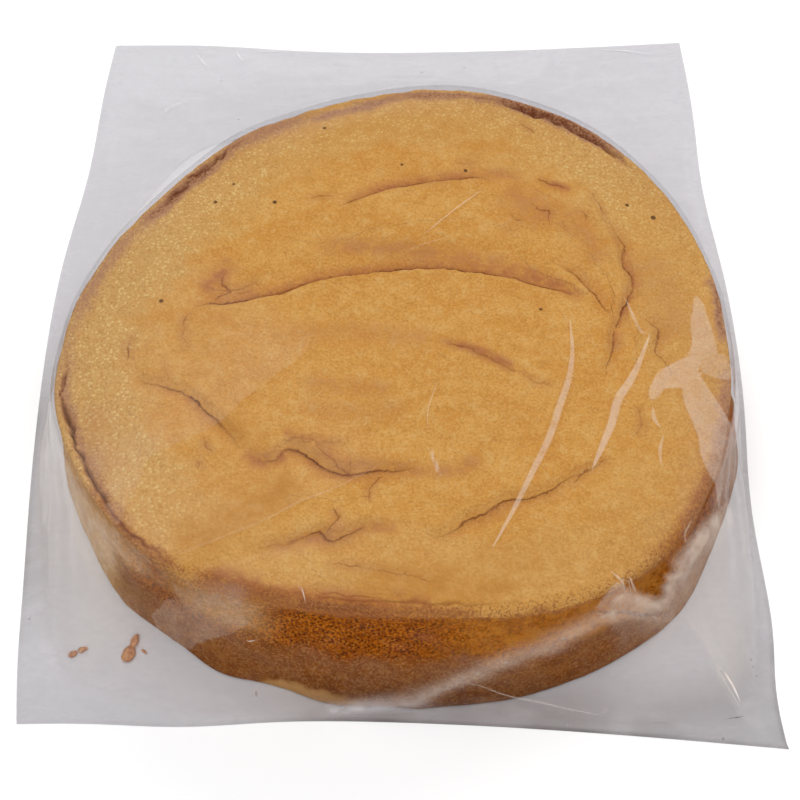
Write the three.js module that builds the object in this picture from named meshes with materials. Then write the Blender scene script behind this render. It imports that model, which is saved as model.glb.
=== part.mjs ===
// A round sponge cake lying in a clear flat plastic bag.
// Millimetres and degrees. +Z is up and +Y is away from the viewer.
// The origin is on the resting surface, under the middle of the bag.
// Both pieces are shaped around the cake's own middle, and then moved to their place.

import * as THREE from 'three';

// ---- Driving sizes ----

// Where the cake's middle lies in the bag.
const CAKE_PLACE = new THREE.Vector3(5, -35.5, 0);

// Cake: a tin-baked round that is a little wider at its foot than at its rim.
const RIM_RADIUS = 130;
const FOOT_RADIUS = 138.5;
const RIM_HEIGHT = 56;
const WAIST = 1.5;

// The cake isn't a true circle. Each lobe is [how many round the edge, height, angle of one].
const RIM_LOBES = [[2, 2.5, 34], [3, 5.3, 77], [4, 2.1, 42], [5, 1.0, 17]];
const FOOT_LOBES = [[2, 1.4, -3], [3, 1.9, 81], [4, 1.5, 37], [5, 0.6, 18]];

// Single bulges and hollows of the outline: [middle angle, width in degrees, distance outwards].
const RIM_BULGES = [
  [8, 9, 1.2], [55, 10, 0.6], [78, 9, 1.0], [97, 6, -0.8], [123, 9, 2.4], [147, 8, -0.9],
  [176, 9, 1.3], [193, 10, 2.6], [351, 9, 1.4],
];
const FOOT_BULGES = [
  [192, 11, 3.0], [219, 7, 1.8], [240, 6, 3.0], [259, 8, 3.6], [272, 6, 2.2], [284, 7, 1.2],
  [318, 9, 2.0], [349, 11, 3.0],
];

// Rim: the side crust stands up as a thin lip, with a crevice between it and the top crust.
// The lip is highest where the crevice is deepest.
const LIP_WIDTH = 2.6;
const LIP_RISE = 0.1;
const LIP_SHARE = 0.2;
const CREVICE_WIDTH = 4.4;
const CREVICE_FLOOR = 1;

// Crevice stretches: middle angle, half length in degrees, and extra depth.
const CREVICES = [
  { at: 207, half: 26, depth: 6 },
  { at: 136, half: 14, depth: 3 },
  { at: 58, half: 20, depth: 2.5 },
  { at: 268, half: 24, depth: 1.5 },
];

// Top crust: a low dome that falls off close to the rim.
const CROWN_EDGE = 54.5;
const CROWN_RISE = 4;
const CROWN_POWER = 5;
const SWELL_POWER = 4;

// Folds, where one sheet of crust laps over the next. The sheet on the curve's right-hand
// side ends in a step, and the sheet on its left slopes down to the foot of that step.
const FOLD_STEP = 2.2;
const FOLD_SLOPE_POWER = 1.5;
const FOLD_TAPER_POWER = 0.6;
const FOLDS = [
  { depth: 5.0, slope: 11, path: [[-82, 12], [-46, 21], [-5, 31], [22, 31], [50, 22], [71, 12]] },
  { depth: 3.6, slope: 10, path: [[-30, 61], [-12, 72], [12, 78], [34, 80], [48, 72]] },
  { depth: 3.0, slope: 7, path: [[60, 33], [72, 24], [78, 13], [83, 0]] },
  { depth: 3.4, slope: 7, path: [[88, 44], [92, 28], [86, 12], [80, -12], [79, -30]] },
  { depth: 2.8, slope: 6, path: [[92, 11], [99, 0], [102, -16], [92, -36]] },
  { depth: 3.2, slope: 7, path: [[-62, -56], [-72, -41], [-88, -28], [-108, -16]] },
  { depth: 3.6, slope: 8, path: [[8, -60], [-9, -65], [-27, -61], [-40, -53], [-61, -57]] },
  { depth: 3.2, slope: 8, path: [[75, -62], [52, -73], [30, -83], [10, -92], [2, -88]] },
  { depth: 2.8, slope: 7, path: [[0, -90], [-13, -88], [-30, -93], [-45, -95], [-62, -101]] },
];
const FOLD_STEPS = 28;

// Long shallow swells of the top crust: [height, wavelength, direction, phase].
const SWELLS = [[0.7, 118, 20, 40], [0.6, 83, 96, 200], [0.5, 61, 151, 310]];

// Bumps of the side crust, as for the swells but counted round the cake and up the wall.
const WALL_BUMPS = [[0.5, 17, 9, 0], [0.4, 29, -14, 120], [0.3, 43, 21, 250]];

// Net of the cake's surface.
const TOP_RINGS = 25;
const WALL_LEVELS = [53, 47, 38, 28, 18, 9, 3, 0];

// Bag: its corners and how far each side bows outwards from the line between them.
const BAG_SIDES = [
  { from: [142, -151], bow: 5.5 },
  { from: [139, 222], bow: -6 },
  { from: [-145, 220], bow: 11 },
  { from: [-145, -141], bow: -5.5 },
];
const SIDE_STEPS = 40;

// Film: it leaves the cake just under the rim and falls to the flat skirt round the cake.
const FILM_TOP = 51;
const SKIRT_THICKNESS = 1.6;
const SKIRT_SWELL = 2;
const SKIRT_FULL_WIDTH = 60;
const FILM_CLEARANCE = 1;
const FILM_SAG = 1.15;
const DRAPE_REACH = 26;
const EDGE_MARGIN = 1.6;
const INNER_LEVELS = [0, 14, 30, 42];
const FILM_LEVELS = [42, 32, 22, 14, 7];
const SKIRT_STEPS = 4;

// Where the film is drawn out from the cake towards the bag's corners: middle angle,
// width in degrees, and how much further from the cake it comes down.
const TENTS = [
  { at: -46, width: 16, reach: 60 },
  { at: 224, width: 17, reach: 30 },
  { at: 124, width: 20, reach: 18 },
  { at: 57, width: 20, reach: 22 },
];

// ---- Small helpers ----

const radians = THREE.MathUtils.degToRad;

// The turn from one direction to another, from -180 to 180 degrees.
function turnFrom(at, angle) {
  return THREE.MathUtils.euclideanModulo(THREE.MathUtils.radToDeg(angle) - at + 180, 360) - 180;
}

// 1 in the middle of a stretch of the cake's edge, and 0 beyond its ends.
function stretch(angle, { at, half }) {
  return THREE.MathUtils.smoothstep(1 - Math.abs(turnFrom(at, angle)) / half, 0, 0.6);
}

function lobes(angle, list) {
  return list.reduce((sum, [count, height, at]) => (
    sum + height * Math.cos(count * (angle - radians(at)))
  ), 0);
}

function bulges(angle, list) {
  return list.reduce((sum, [at, width, out]) => (
    sum + out * Math.exp(-((turnFrom(at, angle) / width) ** 2))
  ), 0);
}

function solid(positions, triangles) {
  const geometry = new THREE.BufferGeometry();
  geometry.setAttribute('position', new THREE.Float32BufferAttribute(positions, 3));
  geometry.setIndex(triangles);
  geometry.computeVertexNormals();
  return geometry;
}

// ---- Cake ----

function rimRadius(angle) {
  return RIM_RADIUS + lobes(angle, RIM_LOBES) + bulges(angle, RIM_BULGES);
}

function wallRadius(angle, z) {
  const rise = z / RIM_HEIGHT;
  const foot = FOOT_RADIUS + lobes(angle, FOOT_LOBES) + bulges(angle, FOOT_BULGES);
  const bumps = WALL_BUMPS.reduce((sum, [height, count, climb, phase]) => (
    sum + height * Math.sin(count * angle + climb * rise + radians(phase))
  ), -WAIST);
  return THREE.MathUtils.lerp(foot, rimRadius(angle), rise) + bumps * Math.sin(Math.PI * rise);
}

function foldCurve(fold) {
  const curve = new THREE.SplineCurve(fold.path.map(([x, y]) => new THREE.Vector2(x, y)));
  return { ...fold, points: curve.getSpacedPoints(FOLD_STEPS) };
}

const foldCurves = FOLDS.map(foldCurve);

// How far the crust lies below the sheets round it, beside one fold.
function foldDrop(place, fold) {
  let nearest = Infinity;
  let across = 0;
  let along = 0;
  for (let step = 0; step < FOLD_STEPS; step += 1) {
    const start = fold.points[step];
    const run = fold.points[step + 1].clone().sub(start);
    const offset = place.clone().sub(start);
    const share = THREE.MathUtils.clamp(offset.dot(run) / run.lengthSq(), 0, 1);
    const distance = offset.clone().addScaledVector(run, -share).length();
    if (distance < nearest) {
      nearest = distance;
      across = Math.sign(run.cross(offset)) * distance;
      along = (step + share) / FOLD_STEPS;
    }
  }
  const taper = Math.sin(Math.PI * THREE.MathUtils.clamp(along, 0, 1)) ** FOLD_TAPER_POWER;
  const fall = across > 0 ? (across / fold.slope) ** FOLD_SLOPE_POWER : (across / FOLD_STEP) ** 2;
  return fold.depth * taper * Math.exp(-fall);
}

function crownHeight(x, y) {
  const place = new THREE.Vector2(x, y);
  const out = place.length() / rimRadius(Math.atan2(y, x));
  const drop = foldCurves.reduce((deepest, fold) => Math.max(deepest, foldDrop(place, fold)), 0);
  const swell = SWELLS.reduce((sum, [height, wave, direction, phase]) => {
    const way = x * Math.cos(radians(direction)) + y * Math.sin(radians(direction));
    return sum + height * Math.sin(2 * Math.PI * way / wave + radians(phase));
  }, 0);
  return CROWN_EDGE + CROWN_RISE * (1 - out ** CROWN_POWER) + swell * (1 - out ** SWELL_POWER) - drop;
}

// Distance from the middle, and height, of one point of ring `ring` of the top.
function topPoint(ring, angle) {
  const rim = rimRadius(angle);
  const depth = CREVICES.reduce((sum, crevice) => (
    sum + crevice.depth * stretch(angle, crevice)
  ), CREVICE_FLOOR);
  if (ring === TOP_RINGS) return [rim, RIM_HEIGHT];
  if (ring === TOP_RINGS - 1) return [rim - LIP_WIDTH, RIM_HEIGHT + LIP_RISE + LIP_SHARE * depth];
  const crust = rim - LIP_WIDTH - CREVICE_WIDTH;
  if (ring === TOP_RINGS - 2) return [crust + CREVICE_WIDTH / 2, CROWN_EDGE - depth];
  const radius = crust * ring / (TOP_RINGS - 3);
  return [radius, crownHeight(radius * Math.cos(angle), radius * Math.sin(angle))];
}

// The top is a square net pressed into a disc: ring k has 8k points, evenly spread.
function netAngle(column, row) {
  const quarter = Math.PI / 4;
  if (column === 0 && row === 0) return 0;
  if (Math.abs(column) > Math.abs(row)) return quarter * row / column + (column < 0 ? Math.PI : 0);
  return 2 * quarter - quarter * column / row + (row < 0 ? Math.PI : 0);
}

// Column and row of the net's edge points, anticlockwise from the corner at -45 degrees.
function edgePlace(index) {
  const side = 2 * TOP_RINGS;
  const along = index % side;
  const places = [
    [TOP_RINGS, along - TOP_RINGS],
    [TOP_RINGS - along, TOP_RINGS],
    [-TOP_RINGS, TOP_RINGS - along],
    [along - TOP_RINGS, -TOP_RINGS],
  ];
  return places[Math.floor(index / side)];
}

function cakeGeometry() {
  const positions = [];
  const triangles = [];
  const across = 2 * TOP_RINGS + 1;
  const netIndex = (column, row) => (row + TOP_RINGS) * across + column + TOP_RINGS;

  for (let row = -TOP_RINGS; row <= TOP_RINGS; row += 1) {
    for (let column = -TOP_RINGS; column <= TOP_RINGS; column += 1) {
      const angle = netAngle(column, row);
      const [radius, height] = topPoint(Math.max(Math.abs(column), Math.abs(row)), angle);
      positions.push(radius * Math.cos(angle), radius * Math.sin(angle), height);
    }
  }
  for (let row = -TOP_RINGS; row < TOP_RINGS; row += 1) {
    for (let column = -TOP_RINGS; column < TOP_RINGS; column += 1) {
      const a = netIndex(column, row);
      const b = netIndex(column + 1, row);
      const c = netIndex(column + 1, row + 1);
      const d = netIndex(column, row + 1);
      const outward = (column + 0.5) * (row + 0.5) > 0;
      triangles.push(...(outward ? [a, b, c, a, c, d] : [a, b, d, b, c, d]));
    }
  }

  const round = 8 * TOP_RINGS;
  let above = Array.from({ length: round }, (_, index) => netIndex(...edgePlace(index)));
  for (const z of WALL_LEVELS) {
    const level = above.map((_, index) => {
      const angle = netAngle(...edgePlace(index));
      const radius = wallRadius(angle, z);
      positions.push(radius * Math.cos(angle), radius * Math.sin(angle), z);
      return positions.length / 3 - 1;
    });
    for (let index = 0; index < round; index += 1) {
      const next = (index + 1) % round;
      triangles.push(above[index], level[index], above[next], above[next], level[index], level[next]);
    }
    above = level;
  }

  positions.push(0, 0, 0);
  const middle = positions.length / 3 - 1;
  above.forEach((point, index) => triangles.push(middle, above[(index + 1) % round], point));
  return solid(positions, triangles);
}

// ---- Bag ----

function bagOutline() {
  return BAG_SIDES.flatMap(({ from, bow }, side) => {
    const start = new THREE.Vector2(...from);
    const run = new THREE.Vector2(...BAG_SIDES[(side + 1) % BAG_SIDES.length].from).sub(start);
    const outwards = new THREE.Vector2(run.y, -run.x).normalize();
    return Array.from({ length: SIDE_STEPS }, (_, step) => {
      const along = step / SIDE_STEPS;
      const point = start.clone().addScaledVector(run, along);
      return point.addScaledVector(outwards, bow * Math.sin(Math.PI * along));
    });
  });
}

// Section of the bag from the cake's wall out to one point of the outline, as
// [distance from the cake's middle, height]: up the wall, out over the film, and down.
function bagSection(edge) {
  const angle = Math.atan2(edge.y, edge.x);
  const inner = (z) => wallRadius(angle, z) + FILM_CLEARANCE;
  const room = edge.length() - inner(0) - EDGE_MARGIN;
  const wish = TENTS.reduce((sum, { at, width, reach }) => (
    sum + reach * Math.exp(-((turnFrom(at, angle) / width) ** 2))
  ), DRAPE_REACH);
  const reach = room * (1 - Math.exp(-wish / room));
  const film = (z) => inner(z) + reach * (1 - z / FILM_TOP) ** FILM_SAG;
  const touchdown = film(SKIRT_THICKNESS);
  const width = edge.length() - touchdown;
  const swell = SKIRT_SWELL * Math.min(1, width / SKIRT_FULL_WIDTH);

  const section = INNER_LEVELS.map((z) => [inner(z), z]);
  section.push([inner(FILM_TOP), FILM_TOP]);
  section.push(...FILM_LEVELS.map((z) => [film(z), z]));
  for (let step = 0; step <= SKIRT_STEPS; step += 1) {
    const out = step / SKIRT_STEPS;
    section.push([touchdown + width * out, SKIRT_THICKNESS + swell * Math.sin(Math.PI * out) ** 2]);
  }
  section.push([edge.length(), 0]);
  return { angle, section };
}

function bagGeometry() {
  const sections = bagOutline().map(bagSection);
  const size = sections[0].section.length;
  const positions = sections.flatMap(({ angle, section }) => (
    section.flatMap(([radius, z]) => [radius * Math.cos(angle), radius * Math.sin(angle), z])
  ));
  const triangles = [];
  for (let index = 0; index < sections.length; index += 1) {
    const here = index * size;
    const next = ((index + 1) % sections.length) * size;
    for (let step = 0; step < size; step += 1) {
      const after = (step + 1) % size;
      triangles.push(here + step, here + after, next + after);
      triangles.push(here + step, next + after, next + step);
    }
  }
  return solid(positions, triangles);
}

// ---- The two pieces ----

function piece(name, geometry, material) {
  const mesh = new THREE.Mesh(geometry, new THREE.MeshStandardMaterial(material));
  mesh.name = name;
  mesh.position.copy(CAKE_PLACE);
  return mesh;
}

const group = new THREE.Group();
group.add(piece('sponge_cake', cakeGeometry(), { color: 0xc08a4a, roughness: 0.85, metalness: 0 }));
group.add(piece('clear_bag', bagGeometry(), {
  color: 0xdcdbe0,
  roughness: 0.15,
  metalness: 0,
  transparent: true,
  opacity: 0.4,
}));

export default group;
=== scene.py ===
import math

import bpy
import numpy as np
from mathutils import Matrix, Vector


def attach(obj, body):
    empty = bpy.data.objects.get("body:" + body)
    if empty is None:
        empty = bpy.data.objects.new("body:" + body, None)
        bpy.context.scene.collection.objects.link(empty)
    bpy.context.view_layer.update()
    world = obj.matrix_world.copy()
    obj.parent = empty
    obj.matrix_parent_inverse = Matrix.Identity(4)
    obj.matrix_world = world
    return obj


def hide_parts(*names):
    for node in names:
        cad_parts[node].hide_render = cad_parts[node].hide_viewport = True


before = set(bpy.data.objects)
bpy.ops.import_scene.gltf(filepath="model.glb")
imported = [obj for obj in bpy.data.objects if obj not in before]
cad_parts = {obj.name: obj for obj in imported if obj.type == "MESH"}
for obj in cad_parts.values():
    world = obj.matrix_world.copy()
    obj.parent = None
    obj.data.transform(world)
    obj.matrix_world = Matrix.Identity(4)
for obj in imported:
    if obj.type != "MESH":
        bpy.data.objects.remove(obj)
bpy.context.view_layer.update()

# A round sponge cake lying in a clear flat plastic bag, with a few crumbs loose in it.
# Shapes are worked out in millimetres around the cake's own middle, as in the part's source,
# and moved to their place in metres when a mesh is made.

MM = 0.001
CAKE_PLACE = np.array([5.0, -35.5, 0.0])

# What a mesh attribute says where no line or no spot is near.
CRUST_FAR = 60.0
FILM_FAR = 40.0
NO_SPOT = -9.0


# ---- Sizes that the cake shares with its solid ----

RIM_RADIUS = 130.0
FOOT_RADIUS = 138.5
RIM_HEIGHT = 56.0
WAIST = 1.5
RIM_LOBES = [(2, 2.5, 34), (3, 5.3, 77), (4, 2.1, 42), (5, 1.0, 17)]
FOOT_LOBES = [(2, 1.4, -3), (3, 1.9, 81), (4, 1.5, 37), (5, 0.6, 18)]
WALL_BUMPS = [(0.5, 17, 9, 0), (0.4, 29, -14, 120), (0.3, 43, 21, 250)]

# Single bulges and hollows of the outline: middle angle, width in degrees, distance outwards.
RIM_BULGES = [(8, 9, 1.2), (55, 10, 0.6), (78, 9, 1.0), (97, 6, -0.8), (123, 9, 2.4),
              (147, 8, -0.9), (176, 9, 1.3), (193, 10, 2.6), (351, 9, 1.4)]
FOOT_BULGES = [(192, 11, 3.0), (219, 7, 1.8), (240, 6, 3.0), (259, 8, 3.6), (272, 6, 2.2),
               (284, 7, 1.2), (318, 9, 2.0), (349, 11, 3.0)]

CROWN_EDGE = 54.5
CROWN_RISE = 4.0
CROWN_POWER = 5
SWELL_POWER = 4
SWELLS = [(0.7, 118, 20, 40), (0.6, 83, 96, 200), (0.5, 61, 151, 310)]

# Folds of the top crust: depth, width of the slope on the curve's left, and the curve.
FOLDS = [
    (4.0, 10, [(-86, 9), (-82, 13), (-70, 14.5), (-60, 18), (-50, 20), (-35, 26), (-15, 29),
               (0, 31), (20, 31.5), (40, 28), (57, 22), (66, 19), (71, 13)]),
    (3.0, 9, [(-30, 61), (-22, 66), (-15, 70), (-5, 74), (10, 77), (20, 79), (32, 80), (42, 76)]),
    (2.4, 7, [(58, 35), (62, 33), (70, 27), (74, 22), (77, 17), (79, 11), (83, 1)]),
    (2.6, 6, [(82, 60), (85, 54), (90, 43), (88, 36), (92, 28), (91, 21), (87, 12), (83, 2),
              (81, -10), (77, -22), (79, -30)]),
    (2.0, 5, [(91, 14), (93, 7), (97, 3), (100, 0), (98, -10), (102, -20), (98, -30)]),
    (2.6, 6, [(-60, -58), (-62, -55), (-65, -50), (-68, -46), (-72, -42), (-76, -37), (-80, -33),
              (-85, -29), (-95, -26), (-100, -25), (-108, -16)]),
    (3.0, 7, [(9, -59), (0, -65), (-10, -63), (-20, -65), (-29, -63), (-35, -58), (-40, -55),
              (-45, -55), (-47, -58), (-53, -61), (-61, -57)]),
    (2.4, 7, [(78, -60), (65, -66), (58, -70), (52, -74), (45, -75.5), (38, -77), (30, -82),
              (22, -86), (15, -91), (9, -92), (4, -89)]),
    (2.2, 6, [(1, -89), (-10, -87.5), (-15, -88), (-22, -92), (-28, -94), (-31, -90), (-35, -91),
              (-42, -94), (-50, -96), (-60, -100)]),
]

# Fine cracks and creases of the top crust that are too small for the solid: width and curve.
CRACKS = [
    (0.5, [(-85, 9), (-87, 0), (-84, -12)]),
    (0.4, [(-93, -15), (-92, -21), (-91, -26)]),
    (0.4, [(-107, -2), (-108, -10), (-107, -16)]),
    (0.5, [(-76, -50), (-74, -54), (-71, -58)]),
    (0.5, [(-78, -60), (-76, -62), (-77, -65)]),
    (0.7, [(-46, -52), (-40, -51), (-31, -53), (-20, -52)]),
    (0.6, [(-34, -53), (-28, -60), (-21, -64), (-20, -60)]),
    (0.6, [(-60, 22), (-68, 20), (-74, 24), (-72, 31)]),
    (0.5, [(-58, 26), (-66, 22), (-78, 16)]),
    (0.4, [(-42, 68), (-34, 68), (-28, 69)]),
    (0.5, [(-12, 75), (-6, 74), (0, 77)]),
    (0.4, [(20, 88), (32, 88)]),
    (0.6, [(56, 80), (62, 76), (68, 73)]),
    (0.5, [(50, 113), (54, 109), (57, 107)]),
    (0.4, [(78, 72), (82, 62), (84, 54)]),
    (0.4, [(52, 66), (56, 61), (60, 60), (60, 50)]),
    (0.7, [(16, -8), (25, -11), (32, -15), (38, -19), (43, -23)]),
    (0.4, [(43, -21), (50, -26), (58, -28)]),
    (0.6, [(-26, -80), (-24, -86), (-29, -91)]),
    (0.5, [(-8, -66), (-13, -72), (-13, -80)]),
    (0.5, [(-30, -104), (-15, -105), (0, -108), (16, -112)]),
    (0.4, [(-36, -113), (-22, -115), (-4, -118)]),
    (0.5, [(88, -36), (90, -44), (86, -50)]),
    (0.4, [(110, -66), (106, -78), (101, -86)]),
    (0.4, [(60, -72), (68, -64), (78, -60)]),
    (0.35, [(64, 55), (66, 51), (70, 46)]),
    (0.3, [(43, 60), (46, 55), (50, 57)]),
    (0.3, [(38, 54), (42, 50), (48, 51)]),
    (0.3, [(70, 62), (74, 58), (76, 52)]),
]

# Creases of the wall, darkened with painted shadow where the film is pinched to the cake: half
# width, and the line as direction in degrees and height.
WALL_CREASES = [(1.0, [(299, 44), (302, 40), (305, 33), (308, 27), (311, 18), (314, 11)])]

# Stretches of the rim with a crevice behind the lip: middle angle, half length, depth.
CREVICES = [(207, 27, 3.6), (136, 14, 2.6), (58, 20, 2.2), (268, 24, 1.2)]

# Reddish brown marks of the top crust, in part painted shade in the troughs beside folds: strength,
# half width, and the middle line.
MARKS = [
    (0.65, 4.0, [(-40, 41), (-28, 42), (6, 39), (35, 35), (59, 24), (72, 14)]),
    (0.9, 3.0, [(40, 33), (59, 25), (72, 14)]),
    (0.7, 3.5, [(-31, 62), (-8, 75), (11, 77), (36, 82), (53, 80)]),
    (1.0, 2.0, [(60, 78), (66, 74), (70, 72)]),
    (0.55, 9.0, [(38, 73), (50, 66), (62, 54)]),
    (0.45, 6.0, [(60, 68), (74, 48), (80, 32)]),
    (0.9, 4.0, [(-82, 17), (-76, 26), (-69, 35)]),
    (0.35, 5.0, [(-55, -1), (-17, -2), (14, -6)]),
    (0.9, 2.2, [(10, -5), (29, -12), (43, -21)]),
    (1.0, 3.0, [(-62, -58), (-53, -61), (-44, -57)]),
    (1.0, 1.4, [(-46, -50), (-44, -49), (-42, -49)]),
    (0.4, 4.0, [(-44, -27), (-21, -28), (-2, -31)]),
    (0.3, 4.0, [(-44, -36), (-20, -39), (4, -38)]),
    (0.6, 3.0, [(-39, -54), (-28, -58), (-9, -63), (17, -66), (30, -58)]),
    (0.7, 2.5, [(-60, -100), (-38, -94), (-23, -91), (-13, -89), (0, -90)]),
    (0.5, 3.0, [(82, 60), (88, 44), (91, 24), (84, 4), (80, -14)]),
    (1.0, 3.4, [(-76, -106), (-68, -109), (-53, -114), (-38, -115), (-20, -117), (-6, -119),
                (6, -118)]),
    (0.9, 4.5, [(-70, -108), (-62, -109), (-50, -113)]),
    (1.0, 2.6, [(-8, -115), (3, -117), (10, -118)]),
    (0.4, 6.0, [(-118, -30), (-116, -50), (-108, -66)]),
    (0.35, 9.0, [(96, 44), (104, 20), (106, -8)]),
]

# Browned stretches beside the rim: middle angle, half length, distance inwards, reach, strength.
RIM_BROWNS = [
    (60, 20, 2.0, 3.0, 0.95), (82, 14, 3.6, 2.2, 0.75), (100, 14, 5.4, 2.4, 0.7),
    (122, 18, 3.5, 4.5, 0.55), (142, 16, 4.0, 3.2, 0.85), (166, 18, 3.0, 3.4, 0.5),
    (5, 10, 1.0, 2.4, 0.8), (332, 26, 1.2, 3.6, 0.75), (222, 14, 1.5, 2.5, 0.65),
    (244, 12, 1.5, 4.2, 0.8), (259, 13, 0.0, 3.4, 0.95), (274, 10, 0.5, 2.2, 0.7),
    (312, 10, -1.0, 1.6, 0.6), (294, 12, -1.2, 1.2, 0.6), (185, 20, 2.0, 3.5, 0.3),
    (203, 26, 4.8, 2.8, 0.5),
]

# Stretches of the top that are a deeper gold: strength, half width, and the middle line.
RICHER = [
    (1.0, 8, [(-88, -94), (-74, -93), (-60, -84), (-46, -74), (-36, -66)]),
    (0.9, 8, [(-24, -110), (0, -111), (22, -113), (46, -110)]),
    (0.5, 10, [(60, -96), (40, -102), (20, -102)]),
    # Painted shade on a slope of the crust.
    (0.7, 6, [(-72, -40), (-64, -48), (-56, -53), (-48, -54)]),
    (0.35, 16, [(-60, 96), (-30, 108), (0, 110), (30, 108), (60, 92)]),
    (0.3, 16, [(-90, -30), (-82, -8), (-76, 18)]),
]


# ---- Sizes that the film shares with its solid ----

# The bag's corners, and how far the side from each to the next bows outwards.
BAG_SIDES = [((142, -151), 5.5), ((139, 222), -6), ((-145, 220), 11), ((-145, -141), -5.5)]
FILM_TOP = 56.5
FILM_SAG = 1.15
FILM_CLEARANCE = 1.2
DRAPE_REACH = 26
EDGE_MARGIN = 1.6
SKIRT_THICKNESS = 1.6
SKIRT_SWELL = 2
SKIRT_FULL_WIDTH = 60

# Where the film is drawn out towards the bag's corners: middle angle, width, extra reach.
TENTS = [(-46, 16, 60), (224, 17, 30), (124, 20, 18), (57, 20, 22)]


# ---- Sizes of the finer film ----

FILM_RINGS = 80
# Where the film rolls over the rim: distance outwards and height, row by row.
ROLL = [(0.3, 1.0), (0.9, 0.6), (1.3, -0.1), (1.5, -1.0)]
DRAPE_ROWS = 26
DRAPE_START = 2.4
DRAPE_CROWDING = 1.3
DRAPE_GAP = 0.3
SKIRT_ROWS = 24
UNDERSIDE_RINGS = (0.985, 0.95, 0.9, 0.8, 0.6, 0.4, 0.2, 0.06)
FILM_GAP = 1.5
RIM_GAP = 0.9
FLOOR_GAP = 0.12
CLEAR_HAZE = 0.001
HIGHLIGHT_REACH = 4

# Small waves of the bag's outline: side, share of the way along it, half length, depth inwards.
OUTLINE_WAVES = [(0, 0.05, 0.06, 4.0), (0, 0.27, 0.12, 4.2), (0, 0.74, 0.12, 3.8),
                 (0, 0.5, 0.3, 0.8), (1, 0.85, 0.15, -3.4), (2, 0.23, 0.13, 4.0),
                 (2, 0.94, 0.07, -1.2), (3, 0.21, 0.11, -2.8)]

# Runs of points that lie on more than one of the film's lines below.
WELD = [(-80, 188), (-26, 189), (-2, 193), (42, 190), (121, 194)]
FRONT_CREASE = [(18, -132), (46, -136), (72, -139)]
FRONT_RISE = [(55, -125), (34, -130), (19, -132), (5, -135), (-12, -136)]
CROWN_FOLD = [(65, -12), (63, -25), (59, -37), (54, -52), (47, -67), (39, -84)]
RIGHT_FOLD = [(86, -27), (81, -35), (78, -45), (73, -57), (69, -66)]
CORNER_FOLD = [(98, -115), (104, -116), (112, -124), (123, -137)]
CORNER_SLOPE = [(122, -68), (110, -84), (103, -93), (95, -104), (91, -111)]
UPPER_LEFT = [(-98, -71), (-94, -59), (-73, -48), (-61, -35), (-47, -21)]
LOWER_LEFT = [(-66, -94), (-51, -87), (-38, -79), (-25, -73)]

# Folds that stand up in the film: height, half width, and the line of the crest seen from above.
RIDGES = [
    (0.6, 2.4, [(65, 2), *CROWN_FOLD, (31, -98)]),
    (0.7, 2.6, [(97, 2), (95, -7), *RIGHT_FOLD]),
    (0.4, 1.8, [(12, -27), (9, -40), (9, -52), (13, -67)]),
    (3.2, 6.0, [(94, -112), (104, -116), (112, -124), (117, -129), (122, -136), (125, -140)]),
    (3.0, 4.5, [(119, -76), (107, -91), (101, -98), (97, -104), (95, -108), (88, -115)]),
    (0.8, 3.0, [(94, -36), (95, -30), (100, -24), (105, -20), (110, -16), (118, -10)]),
    (1.5, 3.0, [(70, -119), *FRONT_RISE, (-26, -137)]),
    (0.6, 1.5, FRONT_CREASE),
    (1.4, 4.0, [(-45, -118), (-56, -120), (-68, -121), (-84, -126)]),
    (1.0, 3.0, [(-118, -91), (-106, -95), (-98, -101), (-92, -112)]),
    (0.9, 3.0, [(-131, -116), (-118, -104), (-106, -92)]),
    (0.8, 2.5, WELD),
]

# Painted highlights and glints along creases of the film, with two scratches and the seal: half
# width, strength, and the line seen from above.
HIGHLIGHTS_AND_SCRATCHES = [
    (1.5, 1.0, [(65, 3), *CROWN_FOLD, (31, -99)]),
    (1.9, 1.1, [(96, -4), (90, -19), *RIGHT_FOLD]),
    (0.8, 0.8, [(88, 14), (90, 6), (92, -1), (95, -6)]),
    (0.25, 0.9, [(13, -27), (9, -40), (8.6, -48)]),
    (0.3, 1.3, [(8, 45), (20, 58), (33, 71)]),
    (0.2, 0.7, [(0, 36), (10, 41), (22, 46)]),
    (1.0, 0.8, [(94, -38), (94, -43), (96, -47)]),
    (0.8, 0.8, [(97, -50), (95, -57), (95, -63)]),
    (0.35, 0.5, [(-84, -101), *LOWER_LEFT, (-4, -61)]),
    (0.25, 0.4, [*UPPER_LEFT, (-34, -8)]),
    (0.3, 0.5, [*CORNER_FOLD, (130, -146)]),
    (0.4, 3.0, [(117, -126), (121, -130), (124, -134)]),
    (0.4, 0.9, [(66, -119), (77, -118), (88, -117), (99, -115)]),
    (0.5, 1.2, [(73, -107), (76, -110), (79, -115)]),
    (0.6, 1.2, [(79, -109), (82, -112), (85, -116)]),
    (0.4, 0.9, [(104, -86), (101, -93), (108, -99)]),
    (0.2, 0.8, FRONT_CREASE),
    (0.3, 1.0, [(30, -131), (5, -135), (-12, -136), (-27, -137)]),
    (0.3, 1.2, [(68, -120), (77, -117), (87, -116), (93, -115)]),
    (0.25, 2.0, [(-37, -113), (-36, -115), (-35, -119)]),
    (0.15, 2.2, [(-57, -123), (-54, -123)]),
    (0.5, 2.2, [(-104, 214), (-101, 209), (-98, 204)]),
    (0.5, 2.0, [(-84, 216), (-82, 211), (-79, 207)]),
    (0.4, 2.2, [(-74, 216), (-66, 216), (-58, 216)]),
    (0.6, 1.6, [(98, 217), (110, 216), (124, 213)]),
    (0.4, 0.35, WELD),
    (0.3, 0.4, [(-2, 193), (-20, 186), (-36, 182)]),
    (0.4, 1.0, [(-118, 170), (-112, 176), (-104, 180)]),
]

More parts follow.
